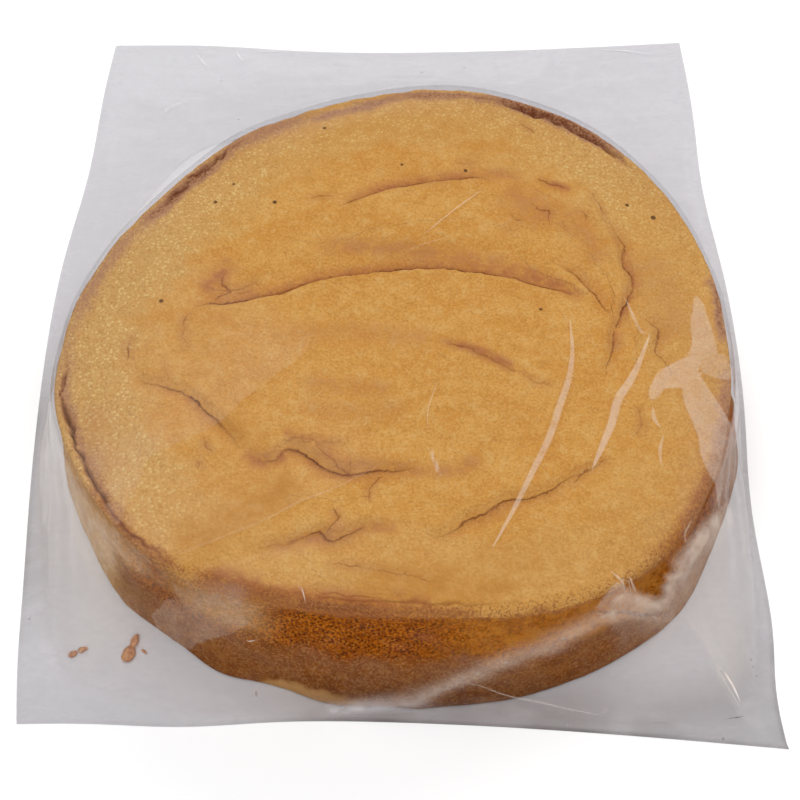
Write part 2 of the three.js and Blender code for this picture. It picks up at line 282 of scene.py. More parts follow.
# Soft cloudy stretches: half width, strength, and the middle line seen from above.
CLOUDS = [
    (1.4, 0.26, [(74, -118), *FRONT_RISE, (-28, -137)]),
    (4, 0.15, [(-92, -110), (-76, -115), (-60, -117)]),
    (10, 0.08, [(-132, -112), (-116, -112), (-100, -112)]),
    (12, 0.06, [(116, -104), (123, -112), (132, -128)]),
]

# Stretches that lie close to the cake and stay clear: half width and the middle line.
CLEARINGS = [
    (7, [(-104, -101), (-94, -108), (-87, -112)]),
    (6, [(-82, -124), (-60, -127), (-36, -131)]),
]

# Crisp patches of the film: painted reflections and a glint right of the middle, and cloudy slack
# film at the front left: strength and the corners seen from above.
REFLECTION_AND_HAZE_PATCHES = [
    (0.2, [(116, 17), (113, 6), (112, -6), (110, -14), (122, -12), (121, 0), (119, 12)]),
    (0.22, [(110, -14), (100, -20), (96, -24), (93, -30), (93, -36), (96, -34), (99, -30),
            (106, -29), (106, -36), (110, -50), (110, -58), (113, -68), (117, -76), (120, -60),
            (124, -46), (119, -34), (115, -26), (113, -21), (116, -14)]),
    (0.15, [(116, -14), (124, -12), (127, -20), (126, -25), (120, -24), (114, -21)]),
    (0.2, [*CORNER_SLOPE, (82, -112), (75, -111), (66, -119), (77, -117), (88, -117), (97, -116),
           (100, -108), (105, -100), (111, -92), (119, -82), (127, -69)]),
    (0.22, [(66, -120), (77, -117), (78, -112), (80, -114), (86, -112), (92, -114), (90, -117),
            (78, -119)]),
    (0.26, [(8.8, -47), (10.2, -58), (13.8, -69), (12.2, -69.5), (9.2, -60)]),
    (0.1, [(-110, -80), (-101, -76), (-103, -90), (-106, -87)]),
    (0.12, [(-85, -111), (-72, -114.5), (-62, -117), (-53, -119.5), (-61, -121), (-72, -122),
            (-80, -122), (-90, -117), (-93, -112)]),
]

# Where the film lies closer to the cake on one side of a line: strength, how far the cloudy
# side reaches, and the line seen from above, with the cloudy side on its left.
FILM_EDGES = [
    (0.055, 60, [(-104, -85), *UPPER_LEFT, (-29, -3)]),
    (0.03, 40, [(-81, -100), *LOWER_LEFT, (-1, -59)]),
    (0.03, 9, [(-22, -84), (-28, -91), (-41, -97), (-57, -102), (-72, -108)]),
    (0.09, 26, [*CORNER_FOLD, (136, -150)]),
    (0.55, 4.5, [*CORNER_SLOPE, (86, -112), (77, -113), (68, -119)]),
]

# How cloudy the film is halfway down from the rim: middle angle, half width and strength.
VEILS = [(217, 17, 0.24), (-10, 28, 0.06)]

# Dark specks on the film: place and radius.
FILM_SPECKS = [(-90, 193, 0.1), (-80, 167, 0.1), (9, 199, 0.15), (30, 203, 0.1), (-55, -133, 0.4),
               (130, -118, 0.2), (132, -123, 0.1), (74, -138, 0.1), (61, -142, 0.2),
               (118, -147, 0.25), (-146, -98, 0.15)]


# ---- Sizes of the finer cake ----

TOP_RINGS = 112
EDGE_RINGS = 16
EDGE_SPACING = 0.75
WALL_ROWS = 44
LIP_WIDTH = 2.0
LIP_RISE = 0.1
LIP_SHARE = 0.2
CREVICE_AT = 3.4
CREVICE_HALF_WIDTH = 0.8
FOLD_STEP = 1.7
CRACK_DEPTH = 0.5
CAKE_LIFT = 0.3
EDGE_ROUND = 4.5
FOLD_BULGE = 0.7
FOOT_TUCK = 1.3
FOOT_TUCK_HEIGHT = 1.2
WALL_CREASE_DEPTH = 0.9
SPOT_REACH = 4


# ---- Noise and small helpers ----

def turn_from(at, angle):
    """The turn in degrees from one direction to others given in radians."""
    return (np.degrees(angle) - at + 180) % 360 - 180


def smoothstep(low, high, value):
    share = np.clip((value - low) / (high - low), 0, 1)
    return share * share * (3 - 2 * share)


def stretch(angle, at, half):
    """1 in the middle of a stretch of the cake's edge, and 0 beyond its ends."""
    return smoothstep(0, 0.6, 1 - np.abs(turn_from(at, angle)) / half)


def lattice(x, y, z, seed):
    """A repeatable random value from -1 to 1 for each whole-number point."""
    mixed = (x * 374761393 + y * 668265263 + z * 2147483647 + seed * 1274126177) & 0xFFFFFFFF
    mixed = ((mixed ^ (mixed >> 13)) * 1274126177) & 0xFFFFFFFF
    mixed = mixed ^ (mixed >> 16)
    return (mixed & 0xFFFF) / 32767.5 - 1


def noise(points, size, seed):
    """Smooth noise from -1 to 1 with bumps of about the given size, for an n by 3 array."""
    scaled = points / size
    cell = np.floor(scaled).astype(np.int64)
    part = scaled - cell
    part = part * part * (3 - 2 * part)
    total = np.zeros(len(points))
    for corner in range(8):
        step = np.array([corner & 1, corner >> 1 & 1, corner >> 2 & 1])
        weight = np.prod(np.where(step, part, 1 - part), axis=1)
        x, y, z = (cell + step).T
        total += weight * lattice(x, y, z, seed)
    return total


def rough(points, size, seed, octaves=3):
    """Noise with finer noise on it."""
    return sum(noise(points, size / 2 ** o, seed + o) / 2 ** o for o in range(octaves))


def ridged(points, size, seed):
    """Noise with sharp crests, from 0 to 1."""
    return (1 - np.abs(noise(points, size, seed))) ** 4


def catmull(path, steps):
    """Points on a smooth curve through the path's points."""
    path = np.array(path, float)
    ends = np.vstack([2 * path[0] - path[1], path, 2 * path[-1] - path[-2]])
    at = np.linspace(0, len(path) - 1, steps + 1)
    index = np.minimum(at.astype(int), len(path) - 2)
    t = (at - index)[:, None]
    a, b, c, d = (ends[index + k] for k in range(4))
    return 0.5 * (2 * b + (c - a) * t + (2 * a - 5 * b + 4 * c - d) * t ** 2
                  + (3 * b - a - 3 * c + d) * t ** 3)


def curve_field(x, y, path, steps=36):
    """Signed distance to a curve, positive on its left, and the share of the way along it."""
    curve = catmull(path, steps)
    near = np.full(len(x), np.inf)
    across = np.zeros(len(x))
    along = np.zeros(len(x))
    for step in range(steps):
        start, run = curve[step], curve[step + 1] - curve[step]
        dx, dy = x - start[0], y - start[1]
        share = np.clip((dx * run[0] + dy * run[1]) / (run @ run), 0, 1)
        distance = np.hypot(dx - share * run[0], dy - share * run[1])
        closer = distance < near
        near = np.where(closer, distance, near)
        across = np.where(closer, np.sign(run[0] * dy - run[1] * dx) * distance, across)
        along = np.where(closer, (step + share) / steps, along)
    return across, along


def nearest_lines(x, y, lines, far, steps=36, wander=0.0):
    """Line by line: its sizes, where it is the nearest so far and nearer than far, its signed
    distance there, and the share of the way along it."""
    near = np.full(len(x), far)
    for *sizes, path in lines:
        across, along = curve_field(x, y, path, steps)
        across = across + wander
        closer = np.abs(across) < near
        near = np.where(closer, np.abs(across), near)
        yield (*sizes, closer, across, along)


def smear_field(x, y, smears, head, tail):
    """Strength of soft smears that fade along the given shares of their ends."""
    total = np.zeros(len(x))
    for strength, half, path in smears:
        across, along = curve_field(x, y, path, 16)
        taper = smoothstep(0, head, along) * smoothstep(0, tail, 1 - along)
        total = np.maximum(total, strength * taper * np.exp(-(across / half) ** 2))
    return total


def mesh_object(name, points, faces, values=None):
    """A smooth-shaded mesh at the cake's place, from points in millimetres around the cake."""
    mesh = bpy.data.meshes.new(name)
    mesh.from_pydata(((points + CAKE_PLACE) * MM).tolist(), [], faces)
    mesh.polygons.foreach_set("use_smooth", [True] * len(mesh.polygons))
    for key, value in (values or {}).items():
        attribute = mesh.attributes.new(key, "FLOAT", "POINT")
        attribute.data.foreach_set("value", np.asarray(value, np.float32))
    mesh.update()
    piece = bpy.data.objects.new(name, mesh)
    bpy.context.scene.collection.objects.link(piece)
    return piece


# ---- Shape of the cake ----

def lobes(angle, shape):
    return sum(height * np.cos(count * (angle - math.radians(at))) for count, height, at in shape)


def bulges(angle, shape):
    return sum(out * np.exp(-(turn_from(at, angle) / width) ** 2) for at, width, out in shape)


def rim_radius(angle):
    return RIM_RADIUS + lobes(angle, RIM_LOBES) + bulges(angle, RIM_BULGES)


def wall_radius(angle, z):
    rise = z / RIM_HEIGHT
    foot = FOOT_RADIUS + lobes(angle, FOOT_LOBES) + bulges(angle, FOOT_BULGES)
    bumps = -WAIST + sum(height * np.sin(count * angle + climb * rise + math.radians(phase))
                         for height, count, climb, phase in WALL_BUMPS)
    return foot + (rim_radius(angle) - foot) * rise + bumps * np.sin(math.pi * rise)


def crown_height(x, y):
    """The top crust without its folds."""
    out = np.hypot(x, y) / rim_radius(np.arctan2(y, x))
    swell = sum(height * np.sin(2 * math.pi * (x * math.cos(math.radians(way))
                                               + y * math.sin(math.radians(way))) / wave
                                + math.radians(phase))
                for height, wave, way, phase in SWELLS)
    return CROWN_EDGE + CROWN_RISE * (1 - out ** CROWN_POWER) + swell * (1 - out ** SWELL_POWER)


def crevice_depth(angle):
    return sum(depth * stretch(angle, at, half) for at, half, depth in CREVICES)


def fold_fields(x, y):
    """Depth of the crust below its sheets, and the nearest fold's signed distance and depth."""
    drop = np.zeros(len(x))
    bulge = np.zeros(len(x))
    side = np.full(len(x), CRUST_FAR)
    strength = np.zeros(len(x))
    wander = rough(np.stack([x, y, 0 * x], 1), 6, 71) * 0.55
    folds = nearest_lines(x, y, FOLDS, CRUST_FAR, wander=wander)
    for depth, slope, closer, across, along in folds:
        taper = np.sin(math.pi * along) ** 0.6
        fall = np.where(across > 0, (np.abs(across) / slope) ** 1.5, (across / FOLD_STEP) ** 2)
        drop = np.maximum(drop, depth * taper * np.exp(-fall))
        bulge = np.maximum(bulge, FOLD_BULGE * taper * np.exp(-((across + 3.5) / 3) ** 2))
        side = np.where(closer, across, side)
        strength = np.where(closer, depth * taper, strength)
    return drop - bulge, side, strength


def crack_fields(x, y, cracks, steps, wander=0.0):
    """The nearest crack's signed distance and its width there."""
    side = np.full(len(x), CRUST_FAR)
    width = np.zeros(len(x))
    for size, closer, across, along in nearest_lines(x, y, cracks, CRUST_FAR, steps, wander):
        side = np.where(closer, across, side)
        width = np.where(closer, size * np.sin(math.pi * along) ** 0.5, width)
    return side, width


def wall_crease_fields(angle, z):
    """Distance from the nearest crease of the wall, and its half width there."""
    per_degree = math.radians(RIM_RADIUS)
    lines = [(half, [(per_degree * at, height) for at, height in path])
             for half, path in WALL_CREASES]
    side, width = crack_fields(np.degrees(angle) % 360 * per_degree, z, lines, 16)
    return np.abs(side), width


def brown_field(place, angle, inset):
    """How browned the crust is beside the rim, with ragged borders."""
    inset = inset + 1.1 * rough(place, 8, 91) + 0.9 * noise(place, 2.4, 95)
    brown = np.zeros(len(inset))
    for at, half, middle, reach, strength in RIM_BROWNS:
        ring = np.exp(-((inset - middle) / reach) ** 2)
        brown = np.maximum(brown, strength * stretch(angle, at, half) * ring)
    return brown


def spot_fields(x, y, spots):
    """Offset from the nearest spot, and its radius, or far less than nothing away from all."""
    near = np.full(len(x), np.inf)
    fields = np.zeros((3, len(x)))
    for at_x, at_y, radius in spots:
        distance = np.hypot(x - at_x, y - at_y)
        offset = np.stack([x - at_x, y - at_y, np.full(len(x), radius)])
        fields = np.where(distance < near, offset, fields)
        near = np.minimum(near, distance)
    fields[2] = np.where(near < SPOT_REACH, fields[2], NO_SPOT)
    return dict(zip(("spot_x", "spot_y", "spot_size"), fields))


def net_angle(column, row):
    """Direction of each point of a square net pressed into a disc."""
    quarter = math.pi / 4
    wide = np.abs(column) > np.abs(row)
    safe_column = np.where(column == 0, 1, column)
    safe_row = np.where(row == 0, 1, row)
    across = quarter * row / safe_column + np.where(column < 0, math.pi, 0)
    along = 2 * quarter - quarter * column / safe_row + np.where(row < 0, math.pi, 0)
    return np.where(wide, across, np.where(row == 0, 0, along))


def edge_walk(rings):
    """Columns and rows of the net's edge points, anticlockwise from the corner at -45 degrees."""
    step = np.arange(2 * rings)
    full = np.full(2 * rings, rings)
    columns = np.concatenate([full, rings - step, -full, step - rings])
    rows = np.concatenate([step - rings, full, rings - step, -full])
    return columns, rows


def net_faces(rings):
    """Faces of the square net."""
    across = 2 * rings + 1
    start = np.arange(2 * rings)
    corner = (start[:, None] * across + start[None, :]).ravel()
    return np.stack([corner, corner + 1, corner + across + 1, corner + across], 1)


def band_faces(above, below):
    """Faces between two closed rows of points, the first above the second."""
    return np.stack([above, below, np.roll(below, -1), np.roll(above, -1)], 1)


def net_edge(rings):
    """Numbers of the net's edge points, in the order of the walk round it."""
    columns, rows = edge_walk(rings)
    return (rows + rings) * (2 * rings + 1) + columns + rings


def polar(radius, angle, z):
    """Points from their distances from the middle, directions and heights."""
    return np.stack([radius * np.cos(angle), radius * np.sin(angle), z], 1)


def closed_shape(top, rings, rows, bottom):
    """A net with closed rows of points hung from its edge, drawn together at one last point."""
    above = net_edge(rings)
    faces = [net_faces(rings)]
    total = len(top)
    for row in rows:
        below = total + np.arange(len(row))
        faces.append(band_faces(above, below))
        above = below
        total += len(row)
    faces = np.concatenate(faces).tolist()
    faces += [[total, int(b), int(a)] for a, b in zip(above, np.roll(above, -1))]
    return np.concatenate([top, *rows, [bottom]]), faces


def top_points():
    """The top's points, and its values for the crust's material."""
    side = np.arange(-TOP_RINGS, TOP_RINGS + 1)
    column, row = (a.ravel() for a in np.meshgrid(side, side))
    ring = np.maximum(np.abs(column), np.abs(row))
    angle = net_angle(column, row)
    rim = rim_radius(angle)
    edge = EDGE_RINGS * EDGE_SPACING
    inner = (rim - edge) * ring / (TOP_RINGS - EDGE_RINGS)
    inset = np.where(ring > TOP_RINGS - EDGE_RINGS, (TOP_RINGS - ring) * EDGE_SPACING, rim - inner)
    x = (rim - inset) * np.cos(angle)
    y = (rim - inset) * np.sin(angle)
    place = np.stack([x, y, np.full(len(x), RIM_HEIGHT)], 1)

    drop, side, strength = fold_fields(x, y)
    wander = rough(np.stack([x, y, 0 * x], 1), 5, 83) * 0.7
    crack, crack_width = crack_fields(x, y, CRACKS, 12, wander)
    crust = crown_height(x, y) - drop
    swirl = np.stack([np.hypot(x, y), angle * 30, 0 * x], 1)
    crust = crust + 0.3 * rough(place, 22, 1) + 0.14 * rough(place, 5, 5)
    crust = crust + 0.5 * rough(swirl, 9, 61) * smoothstep(8, 30, np.hypot(x, y))
    crust = crust - CRACK_DEPTH * crack_width * np.exp(-(crack / 0.9) ** 2)

    depth = crevice_depth(angle)
    ragged = rough(place, 9, 11)
    at = CREVICE_AT + 0.9 * ragged + noise(place, 3.0, 13) - 1.2 * stretch(angle, 224, 14)
    half = CREVICE_HALF_WIDTH * (0.75 + 0.35 * rough(place, 14, 15)) * (0.6 + 0.1 * depth)
    groove = depth * np.exp(-((inset - at) / half) ** 2)
    lip = RIM_HEIGHT + LIP_RISE + LIP_SHARE * depth + 0.35 * rough(place, 6, 21)
    lip = lip - 0.9 * np.clip(1 - inset, 0, 1) ** 2 + 0.3 * noise(place, 2.8, 23)
    blend = smoothstep(LIP_WIDTH, LIP_WIDTH + 2.2, inset)

    # Where there is no crevice the crust runs out to the edge. It rolls over it at the front.
    front = smoothstep(0.1, 0.8, -np.sin(angle))
    roll = EDGE_ROUND * (1 - np.sqrt(1 - np.clip(1 - inset / EDGE_ROUND, 0, 1) ** 2))
    brim = smoothstep(8, 2, inset)
    rolled = crust + (RIM_HEIGHT - crust) * brim - (0.15 + 0.55 * front) * roll
    rolled = rolled + 0.5 * rough(place, 7, 31) * smoothstep(9, 2, inset)
    flaky = stretch(angle, 229, 11) * smoothstep(8, 2, inset)
    rolled = rolled + flaky * (0.9 * noise(place, 3.6, 33) - 0.4)
    open_share = np.clip(depth / 2.5, 0, 1)
    edged = lip + (crust - groove - lip) * blend
    height = rolled + (edged - rolled) * open_share

    toast = (0.55 * stretch(angle, -28, 36) + 0.35 * stretch(angle, 150, 60)
             + 0.35 * stretch(angle, 72, 70))
    dusty = (1 - 0.75 * stretch(angle, 275, 80) - 0.3 * stretch(angle, 90, 70)
             - 0.6 * stretch(angle, 0, 50))
    values = {"inset": inset, "fold_side": side, "fold_depth": strength, "crack": crack,
              "crack_width": crack_width, "toast": toast, "dusty": dusty,
              "mark": smear_field(x, y, MARKS, 0.25, 0.12),
              "rich": smear_field(x, y, RICHER, 0.2, 0.2),
              "fair": fair_share(angle, RIM_HEIGHT),
              "brown": brown_field(place, angle, inset),
              "crevice": np.exp(-((inset - at) / (1.2 * half)) ** 2) * np.clip(depth / 2.4, 0, 1),
              **around_fields(angle), **spot_fields(x, y, FRECKLES)}
    return np.stack([x, y, height], 1), values


def fair_share(angle, z):
    """How fair the crust of the wall is, with a brown patch on the fair stretch."""
    above = smoothstep(24, 38, z)
    fair = np.maximum(stretch(angle, 203, 30), 0.6 * stretch(angle, 238, 13) * above)
    return fair * (1 - 0.85 * stretch(angle, 225, 9) * smoothstep(38, 28, z))


def around_fields(angle):
    """Shares by direction: lighter upper wall, crumbly front rim, and pale foot."""
    return {"light": stretch(angle, 297, 26),
            "front": smoothstep(-0.2, -0.7, np.sin(angle)),
            "pale_foot": 0.35 + 0.65 * stretch(angle, 255, 11)}


def cake_object():
    """The cake as one closed shape: the top's net, rows down the wall, and a flat foot."""
    top, values = top_points()
    angle = net_angle(*edge_walk(TOP_RINGS))
    rim_top = top[net_edge(TOP_RINGS), 2]

    rows, wall = [], []
    for level in range(1, WALL_ROWS + 1):
        share = level / WALL_ROWS
        z = rim_top * (1 - share)
        radius = wall_radius(angle, z)
        place = polar(radius, angle, z)
        relief = 0.55 * rough(place, 16, 41) + 0.4 * rough(place, 4.5, 45)
        radius = radius + np.sin(math.pi * share) ** 0.5 * np.clip(relief, -1.5, 0.8)
        radius = radius - FOOT_TUCK * np.exp(-z / FOOT_TUCK_HEIGHT)
        crease, crease_width = wall_crease_fields(angle, z)
        radius = radius - WALL_CREASE_DEPTH * crease_width * np.exp(-(crease / 1.2) ** 2)
        rows.append(polar(radius, angle, z))
        wall.append({"inset": z - rim_top, "crack": crease, "crack_width": crease_width,
                     "brown": brown_field(place, angle, z - rim_top),
                     "fair": fair_share(angle, z), **around_fields(angle)})
    points, faces = closed_shape(top, TOP_RINGS, rows, [0, 0, 0])
    points[:, 2] = np.maximum(points[:, 2], CAKE_LIFT)

    # Below the top the wall's values follow, row by row, and those of the foot's middle.
    last = {"inset": -RIM_HEIGHT, "crack": CRUST_FAR}
    none = {"fold_side": CRUST_FAR, "spot_size": NO_SPOT}
    for key in values:
        if key in wall[0]:
            rest = np.append(np.concatenate([row[key] for row in wall]), last.get(key, 0))
        else:
            rest = np.full(len(points) - len(top), none.get(key, 0.0))
        values[key] = np.concatenate([values[key], rest])
    return mesh_object("cake", points, faces, values)


# ---- Shape of the film ----

def bag_outline():
    """The bag's outline, anticlockwise from the near right corner."""
    share = np.arange(2 * FILM_RINGS)[:, None] / (2 * FILM_RINGS)
    sides = []
    for side, (start, bow) in enumerate(BAG_SIDES):
        start = np.array(start, float)
        run = np.array(BAG_SIDES[(side + 1) % 4][0], float) - start
        outwards = np.array([run[1], -run[0]]) / np.hypot(*run)
        push = bow * np.sin(math.pi * share)
        for at_side, at, half, depth in OUTLINE_WAVES:
            if at_side == side:
                wave = np.exp(-((share - at) / half) ** 2)
                push = push - depth * wave * np.sin(math.pi * share) ** 0.3
        sides.append(start + run * share + outwards * push)
    return np.concatenate(sides)


def film_base(angle, edge):
    """Rows of [distance from the middle, height] down from the rim, one for each direction."""
    def inner(z):
        return wall_radius(angle, z) + FILM_CLEARANCE

    room = edge - inner(0) - EDGE_MARGIN
    wish = DRAPE_REACH + sum(reach * np.exp(-(turn_from(at, angle) / width) ** 2)
                             for at, width, reach in TENTS)
    reach = room * (1 - np.exp(-wish / room))

    def film(z):
        return inner(z) + reach * np.clip(1 - z / FILM_TOP, 0, 1) ** FILM_SAG

    top = film_edge_height(angle)
    rows = [(rim_radius(angle) + out, top + up - 1) for out, up in ROLL]
    for row in range(1, DRAPE_ROWS + 1):
        share = row / DRAPE_ROWS
        z = SKIRT_THICKNESS + (top - DRAPE_START - SKIRT_THICKNESS) * (1 - share) ** DRAPE_CROWDING
        rows.append((film(z) + DRAPE_GAP * (1 - share), z))
    touchdown = film(SKIRT_THICKNESS)
    width = edge - touchdown
    swell = SKIRT_SWELL * np.minimum(1, width / SKIRT_FULL_WIDTH)
    for row in range(1, SKIRT_ROWS):
        out = row / SKIRT_ROWS
        z = SKIRT_THICKNESS * (1 - out) + 0.6 * swell * np.sin(math.pi * out) ** 2
        rows.append((touchdown + width * out, np.maximum(z, 2 * FLOOR_GAP)))
    rows.append((edge, np.full(len(angle), 2 * FLOOR_GAP)))
    return rows


def film_edge_height(angle):
    return RIM_HEIGHT + RIM_GAP + LIP_SHARE * crevice_depth(angle)


def crest(height, half, path, x, y):
    """Height of a pinched fold of film at points seen from above."""
    across, along = curve_field(x, y, path)
    taper = np.sin(math.pi * np.clip(along, 0.02, 0.98)) ** 0.5
    return height * taper * np.clip(1 - np.abs(across) / half, 0, 1) ** 1.6


def highlight_scratch_fields(x, y):
    """The nearest streak's signed distance, its half width there, and its strength; most streaks
    are painted highlights.
    """
    side = np.full(len(x), FILM_FAR)
    half = np.full(len(x), 0.1)
    light = np.zeros(len(x))
    for width, strength, closer, across, along in nearest_lines(x, y, HIGHLIGHTS_AND_SCRATCHES, FILM_FAR):
        taper = np.sin(math.pi * along) ** 0.6
        side = np.where(closer, across, side)
        half = np.where(closer, np.maximum(width * taper, 0.02), half)
        light = np.where(closer, strength, light)
    return side, half, np.where(np.abs(side) < HIGHLIGHT_REACH, light, 0)


def cloud_field(x, y):
    """Cloudiness of the film: soft stretches, and the cloudy sides of some lines."""
    cloud = np.full(len(x), CLEAR_HAZE)
    for width, strength, path in CLOUDS:
        across = curve_field(x, y, path)[0]
        cloud = np.maximum(cloud, strength * np.exp(-(across / width) ** 2))
    for strength, reach, path in FILM_EDGES:
        across, along = curve_field(x, y, path)
        taper = smoothstep(0, 0.12, np.minimum(along, 1 - along))
        fall = np.exp(-np.abs(across) / reach)
        cloud = cloud + strength * taper * smoothstep(-1, 1, across) * fall
    return cloud


def reflection_haze_fields(x, y):
    """Signed distance to the nearest crisp patch, negative inside it, and that patch's strength;
    most patches are painted reflections.
    """
    side = np.full(len(x), FILM_FAR)
    light = np.zeros(len(x))
    for strength, corners in REFLECTION_AND_HAZE_PATCHES:
        near = np.full(len(x), np.inf)
        inside = np.zeros(len(x), bool)
        for (ax, ay), (bx, by) in zip(corners, corners[1:] + corners[:1]):
            run_x, run_y = bx - ax, by - ay
            share = np.clip(((x - ax) * run_x + (y - ay) * run_y) / (run_x ** 2 + run_y ** 2), 0, 1)
            near = np.minimum(near, np.hypot(x - ax - share * run_x, y - ay - share * run_y))
            level = (y - ay) / run_y if run_y else np.full(len(x), -1.0)
            inside ^= (level >= 0) & (level < 1) & (x < ax + level * run_x)
        signed = np.where(inside, -near, near)
        closer = signed < side
        side = np.where(closer, signed, side)
        light = np.where(closer, strength, light)
    return side, light


def veil_field(x, y, z):
    """Cloudiness of the film that hangs from the rim."""
    angle = np.arctan2(y, x)
    veil = sum(stretch(angle, at, half) * strength for at, half, strength in VEILS)
    return veil * smoothstep(26, 42, z) * smoothstep(60, 50, z)


def sorted_span(direction, edge):
    """The outline's distance by direction from 0 to a full turn, for interpolation."""
    turn = direction % (2 * math.pi)
    order = np.argsort(turn)
    turn, edge = turn[order], edge[order]
    return (np.concatenate([[turn[-1] - 2 * math.pi], turn, [turn[0] + 2 * math.pi]]),
            np.concatenate([[edge[-1]], edge, [edge[0]]]))


def film_slack(x, y, z, skirt, to_edge):
    """Slack in the film: wide waves and sharp creases on the skirt, pleats down the sides."""
    flat = np.stack([x, y, 0 * x], 1)
    free = smoothstep(0, 14, to_edge)
    lift = 0.35 * (noise(flat, 34, 201) + 1) * (1 - skirt)
    lift = lift + skirt * free * (0.8 * (noise(flat, 46, 211) + 0.7) + 0.7 * ridged(flat, 55, 221))
    for tall, half, path in RIDGES:
        lift = lift + crest(tall, half, path, x, y) * smoothstep(0, 3, to_edge)
    steep = np.clip((z - 3) / 10, 0, 1) * (z < 55)
    around = np.stack([np.arctan2(y, x) * RIM_RADIUS, z * 0.25, 0 * z], 1)
    lift = lift + steep * 0.25 * (noise(around, 22, 231) + 0.7)
    return lift + skirt * free * 0.3 * ridged(flat, 13, 241)


def film_looks(x, y, z, skirt):
    """Values of the upper film for its material."""
    side, half, light = highlight_scratch_fields(x, y)
    reflection_haze_side, reflection_haze_light = reflection_haze_fields(x, y)
    whitening = cloud_field(x, y) + veil_field(x, y, z)
    for half_width, path in CLEARINGS:
        whitening = whitening * (1 - 0.9 * np.exp(-(curve_field(x, y, path)[0] / half_width) ** 2))
    # Painted shade: the skirt is greyer in front of the cake, most of all in the middle, and beside
    # it.
    near = smoothstep(-70, -135, y) * (0.16 + 0.5 * smoothstep(-110, 0, x))
    near = near + 0.3 * smoothstep(-120, -138, y) * smoothstep(90, 30, np.abs(x - 20))
    beside = (0.38 * (x < 0) + 0.19 * (x > 0)) * smoothstep(75, 30, np.abs(y + 45))
    painted_shade = np.clip(near + beside, 0, 1) * smoothstep(30, 5, z)
    # Painted light: the film that hangs behind the cake lets nearly all through and reflects less,
    # which lightens the shade seen there.
    lightened = smoothstep(-20, 30, y) * smoothstep(2, 8, z) * smoothstep(57, 54, z)
    return {"whitening": whitening, "highlight_scratch_side": side, "highlight_scratch_half": half, "highlight_scratch_light": light,
            "skirt": skirt, "reflection_haze_side": reflection_haze_side, "reflection_haze_light": reflection_haze_light, "painted_shade": painted_shade,
            "lightened": lightened, **spot_fields(x, y, FILM_SPECKS)}


# Values of the flat sheet under the cake, where they aren't 0.
UNDERSIDE = {"highlight_scratch_side": FILM_FAR, "highlight_scratch_half": 0.1, "skirt": 1.0, "reflection_haze_side": FILM_FAR,
             "spot_size": NO_SPOT}


def film_object():
    """The film as one closed envelope: over the crown, down to the skirt, and flat underneath."""
    outline = bag_outline()
    direction = np.unwrap(np.arctan2(outline[:, 1], outline[:, 0]))
    edge = np.hypot(outline[:, 0], outline[:, 1])
    count = len(outline)

    # Over the crown: a net whose corners point at the bag's corners.
    side = np.arange(-FILM_RINGS, FILM_RINGS + 1)
    column, row = (a.ravel() for a in np.meshgrid(side, side))
    ring = np.maximum(np.abs(column), np.abs(row))
    even = (np.degrees(net_angle(column, row)) + 45) % 360 / 360 * count
    angle = np.interp(even, np.arange(count + 1), np.append(direction, direction[0] + 2 * math.pi))
    rim = rim_radius(angle)
    radius = rim * ring / FILM_RINGS
    x, y = radius * np.cos(angle), radius * np.sin(angle)
    near_rim = smoothstep(9, 1.5, rim - radius)
    height = crown_height(x, y) + FILM_GAP
    height = height + (film_edge_height(angle) - height) * near_rim
    crown = np.stack([x, y, height], 1)

    # Down to the skirt's edge, and a flat sheet underneath that shares it.
    rows = [polar(radius, direction, z) for radius, z in film_base(direction, edge)]
    number = len(crown) + len(rows) * count
    outline_index = np.arange(number - count, number)
    rows += [np.column_stack([outline * share, np.full(count, FLOOR_GAP)])
             for share in UNDERSIDE_RINGS]
    base, faces = closed_shape(crown, FILM_RINGS, rows, [0, 0, FLOOR_GAP])

    x, y, z = base[:number].T
    span = np.interp(np.arctan2(y, x) % (2 * math.pi), *sorted_span(direction, edge))
    skirt = smoothstep(16, 3, z)
    lift = film_slack(x, y, z, skirt, span - np.hypot(x, y))
    values = {key: np.append(value, np.full(len(base) - number, UNDERSIDE.get(key, 0.0)))
              for key, value in film_looks(x, y, z, skirt).items()}

    film = mesh_object("film", base, faces, values)
    normals = np.empty(3 * len(base), np.float32)
    film.data.vertices.foreach_get("normal", normals)
    normals = normals.reshape(-1, 3)[:number]
    moved = base.copy()
    moved[:number] += normals * lift[:, None]
    moved[:number, 2] = np.maximum(moved[:number, 2], 2 * FLOOR_GAP)
    moved[outline_index] = base[outline_index]
    film.data.vertices.foreach_set("co", ((moved + CAKE_PLACE) * MM).ravel())
    ends = np.empty(2 * len(film.data.edges), np.int32)
    film.data.edges.foreach_get("vertices", ends)
    sharp = np.isin(ends.reshape(-1, 2), outline_index).all(1)
    film.data.edges.foreach_set("use_edge_sharp", sharp)
    film.data.update()
    return film


# ---- Crumbs ----

# Loose crumbs: middle, half length, half width, half height, turn in degrees, and waist.
CRUMBS = [
    ((-104.8, -110.3), 5.3, 2.3, 1.7, 72, 0.4),
    ((-100.2, -111.6), 1.8, 0.5, 0.5, 140, 0.0),
    ((-126.9, -112.6), 1.9, 1.1, 0.8, 30, 0.1),
    ((-123.5, -110.9), 1.9, 1.1, 0.9, 20, 0.2),
]
CRUMB_ROWS = 20
CRUMB_COLUMNS = 36
CRUMB_LIFT = 0.3


